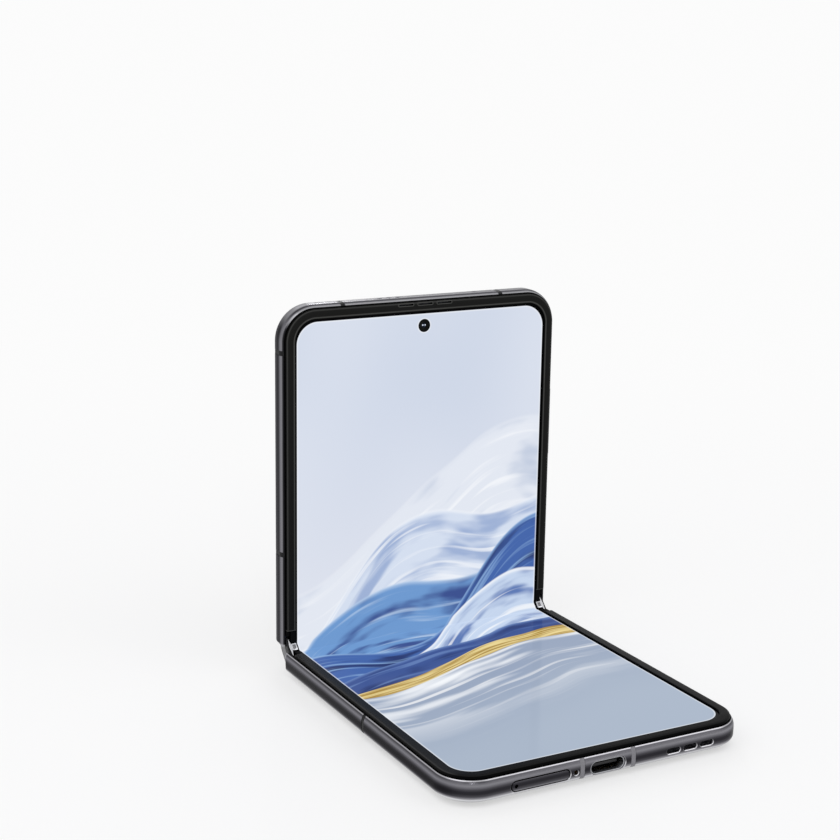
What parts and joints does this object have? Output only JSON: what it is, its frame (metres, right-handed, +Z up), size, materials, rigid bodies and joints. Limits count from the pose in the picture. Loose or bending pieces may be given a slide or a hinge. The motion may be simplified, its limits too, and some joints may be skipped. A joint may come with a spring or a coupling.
{
  "type": "foldable smartphone",
  "caption": "Clamshell foldable phone, half open, with a flexible inner screen, a leather back, a cover window with a round screen and a two-axis hinge.",
  "frame": {"origin": "centre of the base half's flat back face, on the table", "axes": "+X along the fold towards the side with the keys, +Y from the base's port end towards the fold, +Z up out of the base's screen"},
  "size_m": [0.0773, 0.0934, 0.0921],
  "materials": {
    "frame_metal": "satin anodised gunmetal",
    "hinge_bar_metal": "satin anodised grey",
    "leather": "fine pebbled grain",
    "bezel_plastic": "satin",
    "black_rubber": "matt",
    "screen": "glossy film over a lit panel",
    "band_plastic": "satin",
    "inner_plastic": "matt",
    "power_key": "smooth sensor face",
    "cover_glass": "polished black glass",
    "cover_screen": "lit panel under glass",
    "ring_metal": "polished",
    "lens_black": "glossy black",
    "lens_glass": "coated glass",
    "flash_lens": "pearly",
    "cap_metal": "satin",
    "steel": "bare",
    "circuit_board": "solder mask",
    "battery_wrap": "film",
    "gold_contacts": "plated",
    "card_plastic": "satin"
  },
  "bodies": {
    "base": {"base_frame": "frame_metal", "base_antenna_bands": "band_plastic", "base_hinge_bar": "hinge_bar_metal", "base_back_plate": "inner_plastic", "base_leather": "leather", "base_bezel": "bezel_plastic", "base_gasket": "black_rubber", "display_base": "screen", "base_support_plate": "steel", "display_fold_base": "screen", "base_battery": "battery_wrap", "sub_board": "circuit_board", "usb_receptacle": "steel", "usb_tongue": "inner_plastic", "speaker_box": "inner_plastic", "speaker_mesh": "steel", "bottom_mic": "gold_contacts", "vibration_motor": "steel", "sim_socket": "steel", "base_screws": "steel", "hinge_arms_base": "steel"},
    "spine": {"hinge_spine": "hinge_bar_metal", "hinge_brackets": "steel", "hinge_caps": "cap_metal", "hinge_shafts": "steel", "hinge_springs": "steel", "hinge_flex_cable": "gold_contacts"},
    "lid": {"lid_frame": "frame_metal", "lid_antenna_bands": "band_plastic", "lid_hinge_bar": "hinge_bar_metal", "lid_back_plate": "inner_plastic", "lid_leather": "leather", "lid_bezel": "bezel_plastic", "lid_gasket": "black_rubber", "display_lid": "screen", "lid_support_plate": "steel", "display_fold_lid": "screen", "hinge_arms_lid": "steel", "cover_glass": "cover_glass", "glass_spacer": "inner_plastic", "cover_display": "cover_screen", "camera_rings": "ring_metal", "camera_cones": "lens_black", "camera_lenses": "lens_glass", "rear_cameras": "lens_black", "flash_window": "flash_lens", "selfie_camera": "lens_black", "earpiece": "steel", "earpiece_mesh": "steel", "main_board": "circuit_board", "shield_cans": "steel", "lid_battery": "battery_wrap", "side_switches": "steel", "top_mic": "gold_contacts", "lid_screws": "steel"},
    "volume_rocker": {"volume_rocker": "frame_metal"},
    "power_button": {"power_button": "power_key"},
    "sim_tray": {"sim_tray": "frame_metal", "sim_card": "card_plastic"}
  },
  "joints": [
    {"name": "fold_base", "type": "hinge", "parent": "base", "child": "spine", "pos_m": [0, 0.04165, 0.00655], "axis": [1, 0, 0], "range_deg": [-45, 45], "deforming": ["display_fold_base", "hinge_flex_cable"]},
    {"name": "fold_lid", "type": "hinge", "parent": "spine", "child": "lid", "pos_m": [0, 0.04299, 0.00789], "axis": [1, 0, 0], "range_deg": [-45, 45], "deforming": ["display_fold_lid"]},
    {"name": "volume_press", "type": "slide", "parent": "lid", "child": "volume_rocker", "axis": [-1, 0, 0], "range_m": [0, 0.00025], "stiffness_N_per_m": 200},
    {"name": "power_press", "type": "slide", "parent": "lid", "child": "power_button", "axis": [-1, 0, 0], "range_m": [0, 0.0002], "stiffness_N_per_m": 200},
    {"name": "card_tray_slide", "type": "slide", "parent": "base", "child": "sim_tray", "axis": [0, -1, 0], "range_m": [0, 0.016]}
  ],
  "couplings": [
    {"joint": "fold_lid", "follows": "fold_base", "ratio": 1}
  ]
}
